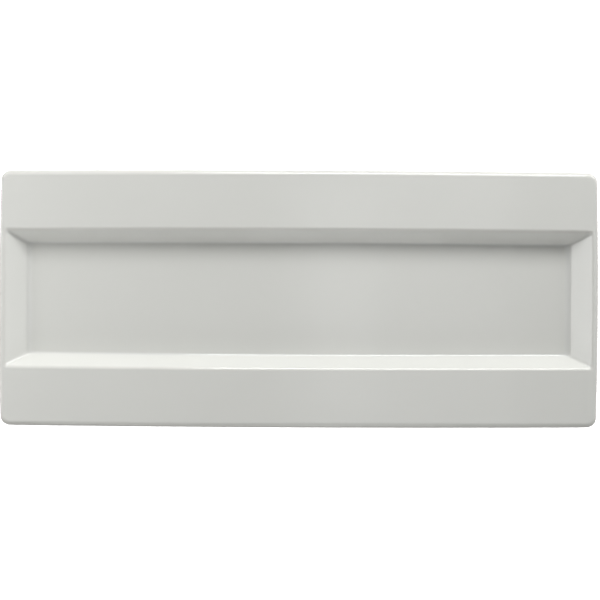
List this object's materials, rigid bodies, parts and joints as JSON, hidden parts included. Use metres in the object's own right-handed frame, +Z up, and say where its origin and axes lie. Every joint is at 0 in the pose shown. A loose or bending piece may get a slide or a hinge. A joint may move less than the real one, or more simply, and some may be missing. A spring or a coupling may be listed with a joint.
{
  "type": "rectangular rimmed platter",
  "caption": "Long rectangular glazed porcelain platter with wide flat side rims, narrow end lips, a sloped-wall well and a bare-footed ring to stand on.",
  "frame": {"origin": "middle of the platter, on the plane that its foot ring stands on", "axes": "+X along the platter's length, +Y across it, +Z up out of the well"},
  "size_m": [0.3556, 0.153, 0.02],
  "materials": {
    "porcelain": "matt unglazed",
    "glaze": "gloss"
  },
  "bodies": {
    "root": {"porcelain_body": "porcelain", "glaze_coat": "glaze", "base_glaze": "glaze"}
  },
  "joints": []
}
